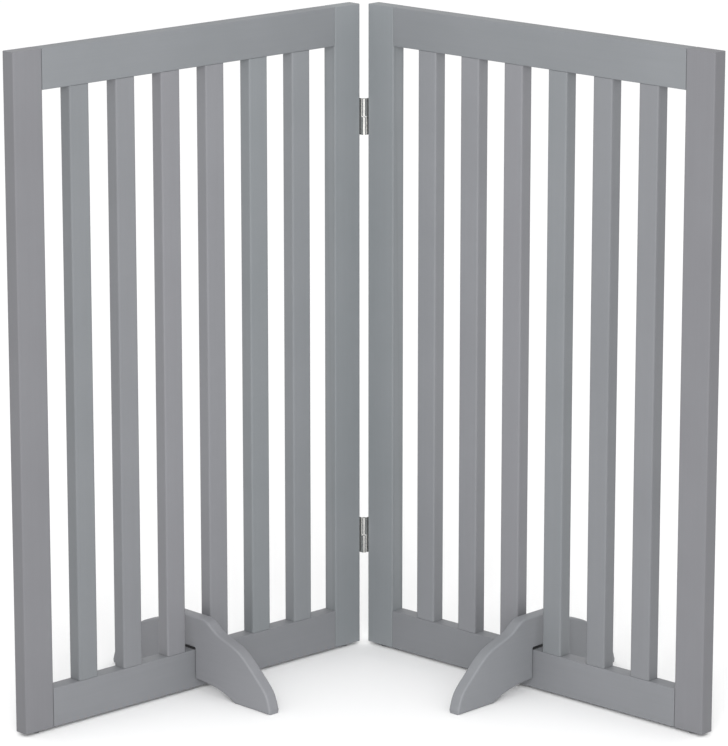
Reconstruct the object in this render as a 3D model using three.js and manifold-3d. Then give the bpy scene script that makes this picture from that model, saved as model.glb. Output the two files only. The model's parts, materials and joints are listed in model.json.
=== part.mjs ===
// A freestanding two-panel pet gate. Each panel is a painted timber frame of two stiles and two
// rails with upright slats between them. The panels are joined by two butt hinges, and a loose
// foot straddles each bottom rail.
//
// Millimetres, +Z up, floor at Z = 0. The gate stands as a V that opens towards -Y, and the plane
// X = 0 runs through the hinge pins. The origin is the bottom centre of the whole gate's box.

import * as THREE from "three";
import { mergeVertices } from "three/addons/utils/BufferGeometryUtils.js";
import Module from "manifold-3d";

// ---- Driving dimensions ------------------------------------------------------------------------

const FIT = 0.3; // gap left between two pieces that touch or are glued

// Panels
const PANEL_WIDTH = 610;
const PANEL_HEIGHT = 914; // timber only, without the glides under it
const PANEL_ANGLE = THREE.MathUtils.degToRad(43.5); // how far each panel is turned from straight
const TIMBER_THICKNESS = 22;
const STILE_WIDTH = 48;
const RAIL_WIDTH = 54;
const STILE_EDGE = 2.2; // radius of the eased long edges
const RAIL_EDGE = 1.2; // small, because the slats stand almost flush with the rails

// Slats
const SLAT_COUNT = 6;
const SLAT_WIDTH = 33;
const SLAT_THICKNESS = 20;
const SLAT_EDGE = 2.6;
const TENON_SHOULDER = 4; // how much narrower the tenon is on each side
const TENON_LENGTH = 12;

// Dowels in the corners of the frames
const DOWEL_DIAMETER = 8;
const DOWEL_LENGTH = 36;
const DOWELS_PER_CORNER = 2;
const DOWEL_SPACING = 28;

// Glides under the stiles
const GLIDE_DIAMETER = 12;
const GLIDE_HEIGHT = 4; // from the floor to the timber
const GLIDE_SOLE = 1; // radius of the rounded rim
const GLIDE_NAIL_DIAMETER = 2.4;
const GLIDE_NAIL_LENGTH = 14;

// Hinges
const HINGE_HEIGHT = 51;
const HINGE_INSET = 157; // from the end of the timber to the middle of the hinge
const BARREL_RADIUS = 2.6;
const PIN_RADIUS = 1.5;
const PIN_CLEARANCE = 0.1;
const PIN_TO_END_FACE = 2.75;
const PIN_TO_FRONT_FACE = 4.75;
const LEAF_THICKNESS = 1.2;
const LEAF_ON_TIMBER = 17; // how far the leaf reaches over the end face
const KNUCKLE_GAP = 0.4; // between the two knuckles, and beside the other leaf's knuckle

// Hinge screws
const SCREWS_PER_LEAF = 2;
const SCREW_SPACING = 28;
const SCREW_LENGTH = 16;
const SCREW_SHANK_RADIUS = 1.5;
const SCREW_HEAD_RADIUS = 2.7;
const SCREW_POINT = 4;
const RECESS_WIDTH = 0.7;
const RECESS_LENGTH = 2.8;
const RECESS_DEPTH = 0.7;

// Feet
const FOOT_THICKNESS = 18;
const FOOT_REACH = 164; // from the middle of the rail to each end
const FOOT_OVER_RAIL = 48; // from the top of the rail to the top of the foot
const FOOT_CROWN = 27; // half the length of the flat top
const FOOT_SOLE = 72; // length of each end that rests on the floor
const FOOT_ARCH = 16.5; // height of the underside beside the notch
const HEEL_CURVE = 0.65; // where the arch turns down, as a share of its length
const TOE_LEAN = 1; // how far the toe leans back at the floor
// Half of the foot's upper outline as shares of its reach and height, from the toe to the crown.
const FOOT_CURVE = [
  [1, 0.05],
  [0.95, 0.25],
  [0.84, 0.425],
  [0.62, 0.7],
  [0.36, 0.845],
  [0.235, 0.965],
];
const FOOT_EDGE = 3;
const FOOT_SHIFT = 0.05; // where the foot stands in its gap, as a share of its side play
const NOTCH_CLEARANCE = 0.6; // between the rail and each leg of the notch
const NOTCH_CORNER = 2;
const STRIP_THICKNESS = 2.4; // rubber strip in the top of the notch
const STRIP_INSET = 0.8; // between the strip's edge and the face of the foot

// How finely curved faces are divided
const BARREL_SIDES = 24;
const GLIDE_SIDES = 16;
const FASTENER_SIDES = 12; // dowels, nails and screws, and their holes
const OUTLINE_STEPS = 3; // along each curve of the foot's outline
const FOOT_EDGE_STEPS = 2;
const STRIP_CORNER_STEPS = 4;

// ---- Sizes that follow -------------------------------------------------------------------------

const FRAME_BOTTOM = GLIDE_HEIGHT;
const FRAME_TOP = FRAME_BOTTOM + PANEL_HEIGHT;
const RAIL_LENGTH = PANEL_WIDTH - 2 * (STILE_WIDTH + FIT);
const BOTTOM_RAIL_TOP = FRAME_BOTTOM + RAIL_WIDTH;
const TOP_RAIL_BOTTOM = FRAME_TOP - RAIL_WIDTH;
const OPENING_WIDTH = PANEL_WIDTH - 2 * STILE_WIDTH;
const SLAT_GAP = (OPENING_WIDTH - SLAT_COUNT * SLAT_WIDTH) / (SLAT_COUNT + 1);
const TENON_WIDTH = SLAT_WIDTH - 2 * TENON_SHOULDER;
const TENON_THICKNESS = SLAT_THICKNESS - 2 * TENON_SHOULDER;
const MIDDLE_DEPTH = PIN_TO_FRONT_FACE + TIMBER_THICKNESS / 2; // timber's middle, behind the pin
const HINGE_HEIGHTS = { upper: FRAME_TOP - HINGE_INSET, lower: FRAME_BOTTOM + HINGE_INSET };
const SCREW_HEAD_HEIGHT = SCREW_HEAD_RADIUS - SCREW_SHANK_RADIUS;
const NOTCH_HALF = TIMBER_THICKNESS / 2 + NOTCH_CLEARANCE;
const NOTCH_TOP = BOTTOM_RAIL_TOP + STRIP_THICKNESS + 2 * FIT;
const FOOT_TOP = BOTTOM_RAIL_TOP + FOOT_OVER_RAIL;
const SLAT_PITCH = SLAT_WIDTH + SLAT_GAP;
const FOOT_GAP_PLACE = ((SLAT_COUNT % 2) * SLAT_PITCH) / 2; // the gap nearest the panel's middle
const FOOT_PLAY = (SLAT_GAP - FOOT_THICKNESS) / 2; // free space on each side of a centred foot
const FOOT_OFF_MIDDLE = FOOT_GAP_PLACE + FOOT_SHIFT * FOOT_PLAY; // towards the hinge

// ---- Materials ---------------------------------------------------------------------------------

const finish = (color, roughness, metalness) => () =>
  new THREE.MeshStandardMaterial({ color, roughness, metalness });

const paint = finish(0x8f9296, 0.55, 0);
const nickel = finish(0xc9c9c6, 0.25, 1);
const rubber = finish(0x151515, 0.85, 0);
const plastic = finish(0x4c4e50, 0.5, 0);
const beech = finish(0xc9a877, 0.7, 0);

// ---- Solids ------------------------------------------------------------------------------------

const wasm = await Module();
wasm.setup();

function toSolid(geometry) {
  const bare = geometry.clone();
  bare.deleteAttribute("normal");
  bare.deleteAttribute("uv");
  const merged = mergeVertices(bare, 1e-4);
  return new wasm.Manifold(
    new wasm.Mesh({
      numProp: 3,
      vertProperties: merged.attributes.position.array,
      triVerts: new Uint32Array(merged.index.array),
    }),
  );
}

function toGeometry(solid) {
  const mesh = solid.getMesh();
  const geometry = new THREE.BufferGeometry();
  geometry.setAttribute("position", new THREE.BufferAttribute(mesh.vertProperties, 3));
  geometry.setIndex(new THREE.BufferAttribute(mesh.triVerts, 1));
  geometry.computeVertexNormals();
  return geometry;
}

function subtract(geometry, cutters) {
  const cut = cutters.reduce((rest, cutter) => rest.subtract(toSolid(cutter)), toSolid(geometry));
  return toGeometry(cut);
}

const join = (a, b) => toGeometry(toSolid(a).add(toSolid(b)));

function box(width, depth, height) {
  return new THREE.BoxGeometry(width, depth, height);
}

// A round bar along Z, or along X when it lies down, with its middle at the origin.
function roundBar(radius, length, sides, lying = false) {
  const bar = new THREE.CylinderGeometry(radius, radius, length, sides);
  return lying ? bar.rotateZ(Math.PI / 2) : bar.rotateX(Math.PI / 2);
}

// A bar along Z, from Z = 0, with its four long edges eased.
function easedBar(width, depth, length, radius) {
  const [w, d] = [width / 2, depth / 2];
  const section = new THREE.Shape();
  section.absarc(w - radius, d - radius, radius, 0, Math.PI / 2);
  section.absarc(radius - w, d - radius, radius, Math.PI / 2, Math.PI);
  section.absarc(radius - w, radius - d, radius, Math.PI, 1.5 * Math.PI);
  section.absarc(w - radius, radius - d, radius, 1.5 * Math.PI, 2 * Math.PI);
  const options = { depth: length, bevelEnabled: false, curveSegments: 1 };
  return new THREE.ExtrudeGeometry(section, options);
}

// Offsets of equally spaced things on both sides of a middle.
function spread(count, spacing) {
  return Array.from({ length: count }, (_, i) => (i - (count - 1) / 2) * spacing);
}

// ---- Panels ------------------------------------------------------------------------------------
// A panel's own frame has the hinge pin at X = 0 and Y = 0. The panel runs from it along `side`,
// which is +1 for the right panel and -1 for the left one, with its front face towards -Y.

const RAIL_HEIGHTS = {
  bottom: FRAME_BOTTOM + RAIL_WIDTH / 2,
  top: FRAME_TOP - RAIL_WIDTH / 2,
};

const slatPlaces = spread(SLAT_COUNT, SLAT_PITCH);

function dowelHole(x, z) {
  const depth = DOWEL_LENGTH + 2 * FIT;
  return roundBar(DOWEL_DIAMETER / 2 + FIT, depth, FASTENER_SIDES, true).translate(x, 0, z);
}

// A stile that stands on Z = 0. Its dowel holes are in the side at X = holesAt, and a nail hole is in
// its foot.
function stile(holesAt, cuts) {
  const bar = easedBar(STILE_WIDTH, TIMBER_THICKNESS, PANEL_HEIGHT, STILE_EDGE);
  const dowels = Object.values(RAIL_HEIGHTS).flatMap((z) =>
    spread(DOWELS_PER_CORNER, DOWEL_SPACING).map((dz) => dowelHole(holesAt, z + dz - FRAME_BOTTOM)),
  );
  const nailDepth = 2 * (GLIDE_NAIL_LENGTH + FIT);
  const nail = roundBar(GLIDE_NAIL_DIAMETER / 2 + FIT, nailDepth, FASTENER_SIDES);
  return subtract(bar, [...dowels, nail, ...cuts]);
}

// A rail along X with its middle at the origin. `up` is +1 where the slats stand on it.
function rail(up) {
  const bar = easedBar(RAIL_WIDTH, TIMBER_THICKNESS, RAIL_LENGTH, RAIL_EDGE);
  bar.translate(0, 0, -RAIL_LENGTH / 2).rotateY(Math.PI / 2);
  const ends = [-1, 1].map((end) => (end * (RAIL_LENGTH + FIT)) / 2);
  const dowels = ends.flatMap((x) =>
    spread(DOWELS_PER_CORNER, DOWEL_SPACING).map((z) => dowelHole(x, z)),
  );
  const depth = 2 * (TENON_LENGTH + FIT);
  const mortises = slatPlaces.map((x) =>
    box(TENON_WIDTH + 2 * FIT, TENON_THICKNESS + 2 * FIT, depth).translate(x, 0, (up * RAIL_WIDTH) / 2),
  );
  return subtract(bar, [...dowels, ...mortises]);
}

// A slat from rail to rail, standing on Z = 0, with a tenon at each end.
function slat() {
  const length = TOP_RAIL_BOTTOM - BOTTOM_RAIL_TOP - 2 * FIT;
  const bar = easedBar(SLAT_WIDTH, SLAT_THICKNESS, length, SLAT_EDGE);
  const tenon = box(TENON_WIDTH, TENON_THICKNESS, length + 2 * TENON_LENGTH);
  return join(bar, tenon.translate(0, 0, length / 2));
}

function glide() {
  const [rim, nail] = [GLIDE_DIAMETER / 2, GLIDE_NAIL_DIAMETER / 2];
  const top = GLIDE_HEIGHT - FIT;
  const profile = new THREE.Path();
  profile.moveTo(0, 0);
  profile.lineTo(rim - GLIDE_SOLE, 0);
  profile.absarc(rim - GLIDE_SOLE, GLIDE_SOLE, GLIDE_SOLE, -Math.PI / 2, 0);
  profile.lineTo(rim, top);
  profile.lineTo(nail, top);
  profile.lineTo(nail, top + GLIDE_NAIL_LENGTH - nail);
  profile.lineTo(0, top + GLIDE_NAIL_LENGTH);
  return new THREE.LatheGeometry(profile.getPoints(1), GLIDE_SIDES).rotateX(Math.PI / 2);
}

// ---- Hinges ------------------------------------------------------------------------------------
// A hinge's own frame has the pin along Z through the origin, at the hinge's mid height.

const LEAF_INNER = PIN_TO_END_FACE - FIT - LEAF_THICKNESS; // the face that meets the other leaf
const screwHeights = spread(SCREWS_PER_LEAF, SCREW_SPACING);

// The hole for one screw, along +X from the leaf's inner face, wider than the screw by `gap`.
function screwHole(gap) {
  const start = -2 * gap;
  const end = SCREW_LENGTH + FIT;
  const shank = SCREW_SHANK_RADIUS + gap;
  const head = SCREW_HEAD_RADIUS + gap;
  const profile = [
    [0, start],
    [head, start],
    [head, 0],
    [shank, SCREW_HEAD_HEIGHT],
    [shank, end],
    [0, end],
  ].map(([r, s]) => new THREE.Vector2(r, s));
  return new THREE.LatheGeometry(profile, FASTENER_SIDES).rotateZ(-Math.PI / 2);
}

function screw() {
  const profile = [
    [0, 0],
    [SCREW_HEAD_RADIUS, 0],
    [SCREW_SHANK_RADIUS, SCREW_HEAD_HEIGHT],
    [SCREW_SHANK_RADIUS, SCREW_LENGTH - SCREW_POINT],
    [0, SCREW_LENGTH],
  ].map(([r, s]) => new THREE.Vector2(r, s));
  const body = new THREE.LatheGeometry(profile, FASTENER_SIDES).rotateZ(-Math.PI / 2);
  const slots = [
    box(2 * RECESS_DEPTH, RECESS_WIDTH, RECESS_LENGTH),
    box(2 * RECESS_DEPTH, RECESS_LENGTH, RECESS_WIDTH),
  ];
  return subtract(body, slots);
}

// The right-hand leaf, whose knuckle is the upper half of the barrel. Turned half round about Y
// it is the left-hand leaf, whose knuckle is the lower half.
function leaf() {
  const half = HINGE_HEIGHT / 2;
  const knuckleLength = half - KNUCKLE_GAP / 2;
  const knuckle = roundBar(BARREL_RADIUS, knuckleLength, BARREL_SIDES);
  knuckle.translate(0, 0, half - knuckleLength / 2);
  const backEdge = PIN_TO_FRONT_FACE + LEAF_ON_TIMBER;
  const plate = box(LEAF_THICKNESS, backEdge, HINGE_HEIGHT);
  plate.translate(LEAF_INNER + LEAF_THICKNESS / 2, backEdge / 2, 0);
  const besideOther = BARREL_RADIUS + KNUCKLE_GAP;
  const cutBack = box(4 * BARREL_RADIUS, 2 * besideOther, half + KNUCKLE_GAP);
  cutBack.translate(0, 0, KNUCKLE_GAP / 2 - (half + KNUCKLE_GAP) / 2);
  const bore = roundBar(PIN_RADIUS + PIN_CLEARANCE, 2 * HINGE_HEIGHT, BARREL_SIDES);
  const holes = screwHeights.map((z) => screwHole(FIT).translate(LEAF_INNER, MIDDLE_DEPTH, z));
  return subtract(join(knuckle, subtract(plate, [cutBack])), [bore, ...holes]);
}

// ---- Feet --------------------------------------------------------------------------------------

// The foot's outline, seen from the side, with the notch over 0 and the soles at height 0.
function footOutline() {
  const heel = FOOT_REACH - FOOT_SOLE;
  const upper = FOOT_CURVE.map(([y, z]) => new THREE.Vector2(y * FOOT_REACH, z * FOOT_TOP));
  const half = new THREE.Path();
  half.moveTo(NOTCH_HALF - NOTCH_CORNER, NOTCH_TOP);
  half.quadraticCurveTo(NOTCH_HALF, NOTCH_TOP, NOTCH_HALF, NOTCH_TOP - NOTCH_CORNER);
  half.lineTo(NOTCH_HALF, FOOT_ARCH);
  half.quadraticCurveTo(heel * HEEL_CURVE, FOOT_ARCH, heel, 0);
  half.lineTo(FOOT_REACH - TOE_LEAN, 0);
  half.lineTo(upper[0].x, upper[0].y);
  half.splineThru([...upper.slice(1), new THREE.Vector2(FOOT_CROWN, FOOT_TOP)]);
  const points = half.getPoints(OUTLINE_STEPS);
  const mirrored = points.map((p) => new THREE.Vector2(-p.x, p.y)).reverse();
  return new THREE.Shape([...points, ...mirrored]);
}

// Turns a board drawn in XY, and extruded along Z, so that it lies along Y with its height up.
function standUp(board) {
  return board.rotateX(Math.PI / 2).rotateZ(Math.PI / 2);
}

function foot() {
  const board = new THREE.ExtrudeGeometry(footOutline(), {
    depth: FOOT_THICKNESS - 2 * FOOT_EDGE,
    bevelThickness: FOOT_EDGE,
    bevelSize: FOOT_EDGE,
    bevelOffset: -FOOT_EDGE,
    bevelSegments: FOOT_EDGE_STEPS,
  });
  return standUp(board.translate(0, 0, FOOT_EDGE - FOOT_THICKNESS / 2));
}

// The rubber strip fills the top of the notch, and its own underside is at Z = 0.
function strip() {
  const [w, h, width] = [NOTCH_HALF - FIT, STRIP_THICKNESS, FOOT_THICKNESS - 2 * STRIP_INSET];
  const section = new THREE.Shape();
  section.moveTo(-w, 0);
  section.lineTo(w, 0);
  section.lineTo(w, h - NOTCH_CORNER);
  section.quadraticCurveTo(w, h, w - NOTCH_CORNER, h);
  section.lineTo(NOTCH_CORNER - w, h);
  section.quadraticCurveTo(-w, h, -w, h - NOTCH_CORNER);
  const options = { depth: width, bevelEnabled: false, curveSegments: STRIP_CORNER_STEPS };
  return standUp(new THREE.ExtrudeGeometry(section, options).translate(0, 0, -width / 2));
}

// ---- The gate ----------------------------------------------------------------------------------

function panel(side) {
  const group = new THREE.Group();
  group.rotation.z = -side * PANEL_ANGLE;
  const along = (fromEndFace) => side * (PIN_TO_END_FACE + fromEndFace);
  const add = (name, geometry, material, x, z, y = MIDDLE_DEPTH) => {
    const mesh = new THREE.Mesh(geometry, material());
    mesh.name = `${side > 0 ? "right" : "left"}_${name}`;
    mesh.position.set(x, y, z);
    group.add(mesh);
    return mesh;
  };

  const stiles = { inner: STILE_WIDTH / 2, outer: PANEL_WIDTH - STILE_WIDTH / 2 };
  const pilotHoles = Object.values(HINGE_HEIGHTS).flatMap((height) =>
    screwHeights.map((dz) => {
      const hole = screwHole(FIT).rotateZ(side > 0 ? 0 : Math.PI);
      const x = side * LEAF_INNER - along(stiles.inner);
      return hole.translate(x, 0, height + dz - FRAME_BOTTOM);
    }),
  );
  const toJoint = (side * (STILE_WIDTH + FIT)) / 2;
  add("inner_stile", stile(toJoint, pilotHoles), paint, along(stiles.inner), FRAME_BOTTOM);
  add("outer_stile", stile(-toJoint, []), paint, along(stiles.outer), FRAME_BOTTOM);
  for (const [end, place] of Object.entries(stiles)) {
    add(`${end}_glide`, glide(), plastic, along(place), 0);
  }

  const middle = along(PANEL_WIDTH / 2);
  const ends = { inner: STILE_WIDTH + FIT / 2, outer: PANEL_WIDTH - STILE_WIDTH - FIT / 2 };
  for (const [height, z] of Object.entries(RAIL_HEIGHTS)) {
    add(`${height}_rail`, rail(height === "bottom" ? 1 : -1), paint, middle, z);
    for (const [end, place] of Object.entries(ends)) {
      spread(DOWELS_PER_CORNER, DOWEL_SPACING).forEach((dz, i) => {
        const dowel = roundBar(DOWEL_DIAMETER / 2, DOWEL_LENGTH, FASTENER_SIDES, true);
        add(`${height}_${end}_dowel_${i + 1}`, dowel, beech, along(place), z + dz);
      });
    }
  }
  slatPlaces.forEach((place, i) => {
    add(`slat_${i + 1}`, slat(), paint, middle + side * place, BOTTOM_RAIL_TOP + FIT);
  });

  const footX = along(PANEL_WIDTH / 2 - FOOT_OFF_MIDDLE);
  add("foot", foot(), paint, footX, 0);
  add("foot_strip", strip(), rubber, footX, BOTTOM_RAIL_TOP + FIT);

  for (const [height, z] of Object.entries(HINGE_HEIGHTS)) {
    const plate = add(`${height}_hinge_leaf`, leaf(), nickel, 0, z, 0);
    plate.rotation.y = side > 0 ? 0 : Math.PI;
    screwHeights.forEach((dz, i) => {
      const fastener = add(`${height}_hinge_screw_${i + 1}`, screw(), nickel, side * LEAF_INNER, z + dz);
      fastener.rotation.z = side > 0 ? 0 : Math.PI;
    });
  }
  return group;
}

const gate = new THREE.Group();
gate.add(panel(-1), panel(1));
for (const [height, z] of Object.entries(HINGE_HEIGHTS)) {
  const pin = new THREE.Mesh(roundBar(PIN_RADIUS, HINGE_HEIGHT, BARREL_SIDES), nickel());
  pin.name = `${height}_hinge_pin`;
  pin.position.z = z;
  gate.add(pin);
}

// The pins stand on X = 0, so the box is centred by moving the gate along Y alone.
const bounds = new THREE.Box3().setFromObject(gate, true);
gate.position.y = -(bounds.min.y + bounds.max.y) / 2;

export default gate;
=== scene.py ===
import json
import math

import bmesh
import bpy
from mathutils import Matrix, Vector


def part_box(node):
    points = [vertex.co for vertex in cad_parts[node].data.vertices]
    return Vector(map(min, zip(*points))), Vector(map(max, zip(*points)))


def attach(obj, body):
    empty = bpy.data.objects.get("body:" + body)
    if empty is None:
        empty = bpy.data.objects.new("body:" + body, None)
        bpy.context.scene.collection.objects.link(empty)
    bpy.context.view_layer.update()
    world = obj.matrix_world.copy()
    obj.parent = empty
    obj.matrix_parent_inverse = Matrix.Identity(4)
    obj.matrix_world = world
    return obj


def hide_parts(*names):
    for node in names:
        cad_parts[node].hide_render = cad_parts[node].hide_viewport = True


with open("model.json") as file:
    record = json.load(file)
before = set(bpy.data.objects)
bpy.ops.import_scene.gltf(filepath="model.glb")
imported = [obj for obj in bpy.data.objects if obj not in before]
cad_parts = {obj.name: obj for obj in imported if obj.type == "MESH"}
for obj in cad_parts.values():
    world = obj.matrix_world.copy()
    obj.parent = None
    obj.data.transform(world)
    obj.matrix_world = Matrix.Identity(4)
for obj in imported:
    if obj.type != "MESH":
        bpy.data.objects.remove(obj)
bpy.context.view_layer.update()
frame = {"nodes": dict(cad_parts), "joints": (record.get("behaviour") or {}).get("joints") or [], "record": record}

# A freestanding pet gate: two slatted timber panels in grey satin paint, joined by two butt hinges,
# with a loose notched foot across each bottom rail.
#
# Metres, +Z up. Each panel has a frame of its own, with the hinge pin at X = 0 and Y = 0 and its
# front face towards -Y. The right panel runs from the pin along +X and the left one along -X.
# Shapes are drawn in that frame and then turned into place. Sizes are read from the frame's nodes.

MM = 0.001
LIE_ALONG_X = Matrix(((0, 0, 1), (1, 0, 0), (0, 1, 0))).to_4x4()  # takes X, Y, Z to Y, Z, X
WELD = 0.01 * MM  # points closer than this are one
SIDES = {"left": -1, "right": 1}
HEIGHTS = ("upper", "lower")
PAIR = (1, 2)
FIT = 0.3 * MM  # gap between two pieces that touch or are glued
GLUE_LINE = 0.05 * MM  # what shows of that gap where a rail butts against a stile

# Timber
STILE_EDGE = 2.2 * MM  # radius of the eased long edges
RAIL_EDGE = 1.2 * MM
BOARD_END_EDGE = 0.7 * MM
SLAT_EDGE = 2.6 * MM
EDGE_STEPS = 5
END_EDGE_STEPS = 3
SLAT_COUNT = 6
SLATS = [f"slat_{number}" for number in range(1, SLAT_COUNT + 1)]
DOWELS = [f"{height}_{end}_dowel_{number}"
          for height in ("bottom", "top") for end in ("inner", "outer") for number in PAIR]
GLIDES = [f"{end}_glide" for end in ("inner", "outer")]
SCREWS = [f"{height}_hinge_screw_{number}" for height in HEIGHTS for number in PAIR]
TENON_SHOULDER = 4 * MM
TENON_LENGTH = 12 * MM

# Dowels, glides and pins
DOWEL_FLUTES = 14
STEPS_PER_FLUTE = 4
FLUTE_DEPTH = 0.35 * MM
DOWEL_CHAMFER = 1.2 * MM
NAIL_LENGTH = 14 * MM
NAIL_RADIUS = 1.2 * MM
NAIL_POINT = 2.5 * NAIL_RADIUS
NAIL_COLLAR = 1.6 * NAIL_RADIUS
GLIDE_SOLE = 1.1 * MM
GLIDE_HOLLOW = 0.2 * MM
GLIDE_RIM_STEPS = (6, 4)  # round the sole and round the shoulder
ROUND_SIDES = 48
ROD_SIDES = 24

# Hinges
BARREL_RADIUS = 2.6 * MM
PIN_RADIUS = 1.5 * MM
PIN_CLEARANCE = 0.1 * MM
DOME_HEIGHT = PIN_RADIUS / 3
DOME = ((0, 0), (0.7, 0.3), (1, 1))  # shares of the pin's radius and of the dome's height
KNUCKLE_GAP = 0.4 * MM  # beside the other leaf's knuckle
KNUCKLE_END_GAP = 1.6 * MM  # between the two knuckles of one hinge
LEAF_THICKNESS = 1.2 * MM
LEAF_CORNER = 2.5 * MM
TRIM = 1 * MM  # how far the rolled blank runs past the leaf that is cut from it
CURL_GAP = 0.25 * MM  # between the end of the rolled knuckle and its own leaf
ROLL_STEPS = 40
BORE_STEPS = 32
CORNER_STEPS = 8

# Hinge screws
HEAD_RADIUS = 2.7 * MM
SHANK_RADIUS = 1.5 * MM
SCREW_LENGTH = 16 * MM
SCREW_POINT = 4 * MM
SCREW_RIM = 0.1 * MM
THREAD_PITCH = 1.3 * MM
THREAD_DEPTH = 0.4 * MM
RECESS_WIDTH = 0.7 * MM
RECESS_LENGTH = 2.8 * MM
RECESS_DEPTH = 1.0 * MM
RECESS_TURN = math.radians(7.5)  # keeps the recess's corners off the head's own facets

# Feet. The curve gives shares of the foot's reach and height, from the toe to the crown.
FOOT_CURVE = ((1, 0.05), (0.95, 0.25), (0.84, 0.425), (0.62, 0.7), (0.36, 0.845), (0.235, 0.965))
FOOT_CROWN = 27 * MM  # half the length of the flat top
FOOT_SOLE = 72 * MM
FOOT_ARCH = 16.5 * MM
FOOT_EDGE = 3 * MM
TOE_LEAN = 1 * MM
HEEL_CURVE = 0.65
NOTCH_CORNER = 2 * MM
FOOT_EDGE_STEPS = 4
NOTCH_STEPS = 6
ARCH_STEPS = 24
KNOT_STEPS = 10
STRIP_RIBS = 6
STEPS_PER_RIB = 8
STRIP_RIB_DEPTH = 0.35 * MM

SHARP_ANGLE = math.radians(40)
BOARD_SEEDS = {"inner_stile": 0.14, "outer_stile": 0.41, "bottom_rail": 0.77, "top_rail": 0.59}
# Painted light: each board's paint is made lighter or darker by its level, from 0.85 to 1.15 times, to offset how
# the light falls: lighter at the inner stile, darker at the outer stile, and the foot lighter.
BOARD_TONES = {"inner_stile": 1.0, "outer_stile": 0.05, "bottom_rail": 0.5, "top_rail": 0.45}
SLAT_TONES = (0.8, 0.3)  # of the slats beside the inner and the outer stile
FOOT_TONE = 0.85
SLAT_SEED = 11
DOWEL_SEED = 1
GLIDE_SEED = 5
SCREW_SEED = 4
SEED_SHIFT = (3.1, 1.7, 5.3)  # how far a board's number moves its patterns
HUE_SPREAD = 7.3  # spreads the boards' numbers between the cooler and the plainer grey
PART_SEEDS = {"dowel": 0.3, "glide": 0.2, "screw": 0.35, "pin": 0.8, "strip": 0.5}
LEAF_SEEDS = {"left": 0.6, "right": 0.1}
FOOT_SEEDS = {"left": 0.25, "right": 0.9}

# Colours
COOL_GREY = (0.180, 0.194, 0.203, 1)
NEUTRAL_GREY = (0.193, 0.193, 0.206, 1)
LIGHT_GREY = (0.240, 0.246, 0.260, 1)
DEEP_GREY = (0.13, 0.136, 0.144, 1)
PRIMER = (0.42, 0.42, 0.41, 1)
NICKEL = (0.76, 0.75, 0.72, 1)
DULL_NICKEL = (0.62, 0.61, 0.59, 1)
SHADED_NICKEL = (0.03, 0.03, 0.032, 1)
BRASS_UNDER = (0.5, 0.42, 0.28, 1)
RUBBER = (0.006, 0.006, 0.0065, 1)
DUSTY_RUBBER = (0.022, 0.022, 0.023, 1)
PLASTIC = (0.055, 0.058, 0.062, 1)
SCUFFED_PLASTIC = (0.15, 0.155, 0.16, 1)
BEECH = (0.58, 0.38, 0.2, 1)
BEECH_DARK = (0.42, 0.25, 0.12, 1)
BEECH_PORE = (0.2, 0.11, 0.05, 1)
FLOOR_WHITE = (0.95, 0.95, 0.95, 1)


# ---- The panels' own frames ----


def in_record(group, name):
    return next(entry for entry in group if entry["name"] == name)


HINGE_LINE = Vector(in_record(frame["joints"], "panel_fold")["pos_m"])
PANEL_AXIS = Vector(in_record(frame["record"]["mounts"], "right_end_face")["axis"])
PANEL_ANGLE = math.atan2(-PANEL_AXIS.y, PANEL_AXIS.x)
PANEL_FRAME = {
    panel: Matrix.Translation(HINGE_LINE) @ Matrix.Rotation(-side * PANEL_ANGLE, 4, "Z")
    for panel, side in SIDES.items()
}


class Extent:
    """The room that a CAD node takes in its panel's own frame."""

    def __init__(self, panel, node):
        to_panel = PANEL_FRAME[panel].inverted()
        points = [to_panel @ v.co for v in frame["nodes"][f"{panel}_{node}"].data.vertices]
        self.low = Vector(min(p[i] for p in points) for i in range(3))
        self.high = Vector(max(p[i] for p in points) for i in range(3))
        self.size = self.high - self.low
        self.middle = (self.high + self.low) / 2


# ---- Making meshes ----


def to_object(name, mesh):
    piece = bpy.data.objects.new(name, mesh)
    bpy.context.scene.collection.objects.link(piece)
    return piece


def from_bmesh(name, shape):
    mesh = bpy.data.meshes.new(name)
    bmesh.ops.recalc_face_normals(shape, faces=shape.faces)
    shape.to_mesh(mesh)
    shape.free()
    return to_object(name, mesh)


def remove(piece):
    mesh = piece.data
    bpy.data.objects.remove(piece)
    bpy.data.meshes.remove(mesh)


def baked(piece):
    """The mesh that the piece's modifiers give."""
    graph = bpy.context.evaluated_depsgraph_get()
    graph.update()
    return bpy.data.meshes.new_from_object(
        piece.evaluated_get(graph), preserve_all_data_layers=True, depsgraph=graph
    )


def combined(name, piece, others, operation):
    """Cuts the other shapes out of the piece, or keeps what lies within them, and removes them."""
    for other in others:
        step = piece.modifiers.new(operation.lower(), "BOOLEAN")
        step.operation = operation
        step.solver = "EXACT"
        step.object = other
    result = to_object(name, baked(piece))
    for used in (piece, *others):
        remove(used)
    return result


def finished(name, shape, place):
    """Bakes a shape, puts it in its place, and gives it smooth edges beside flat faces."""
    mesh = baked(shape)
    remove(shape)
    mesh.transform(place)
    mesh.shade_smooth()
    mesh.set_sharp_from_angle(angle=SHARP_ANGLE)
    rough = to_object(name + "_rough", mesh)
    step = rough.modifiers.new("flat_faces", "WEIGHTED_NORMAL")
    step.keep_sharp = True
    final = baked(rough)
    remove(rough)
    final.name = name
    return to_object(name, final)


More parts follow.
